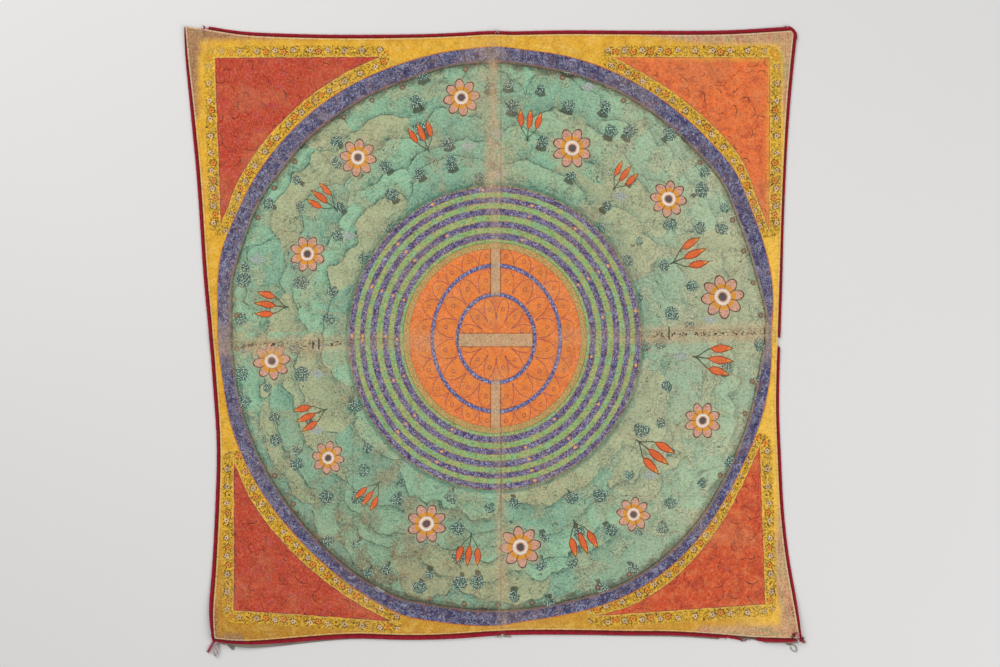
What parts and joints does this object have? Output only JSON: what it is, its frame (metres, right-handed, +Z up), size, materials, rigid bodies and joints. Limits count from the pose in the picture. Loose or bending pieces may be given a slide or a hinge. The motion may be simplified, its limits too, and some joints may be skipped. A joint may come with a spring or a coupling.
{
  "type": "cosmic diagram cloth painting",
  "caption": "square painted cotton cloth with concentric rings and corner panels, lined and edged with red piping, laid flat with tie ends at its lower corners",
  "frame": {"origin": "centre of the cloth's outline without its tie ends, on the surface that it lies on", "axes": "+Z up out of the painted face, +Y towards the top of the painting, +X to its right"},
  "size_m": [1.2427, 1.2594, 0.0146],
  "materials": {
    "painted_cotton": "matte worn paint on plain-weave cotton",
    "backing": "matte plain-weave cotton",
    "piping": "matte twill with a soft sheen",
    "red_tie": "faded cotton cord",
    "white_tie": "soiled cotton cord"
  },
  "bodies": {
    "root": {"backing_cloth": "backing", "painted_cloth": "painted_cotton", "piping_left": "piping", "piping_top": "piping", "piping_right_lower": "piping", "piping_right_upper": "piping", "piping_bottom_left": "piping", "piping_bottom_right": "piping", "piping_bottom_corner": "piping", "tie_red_left": "red_tie", "tie_white_left": "white_tie", "tie_red_right": "red_tie", "tie_white_right": "white_tie", "tie_white_left_knot": "white_tie"}
  },
  "joints": []
}
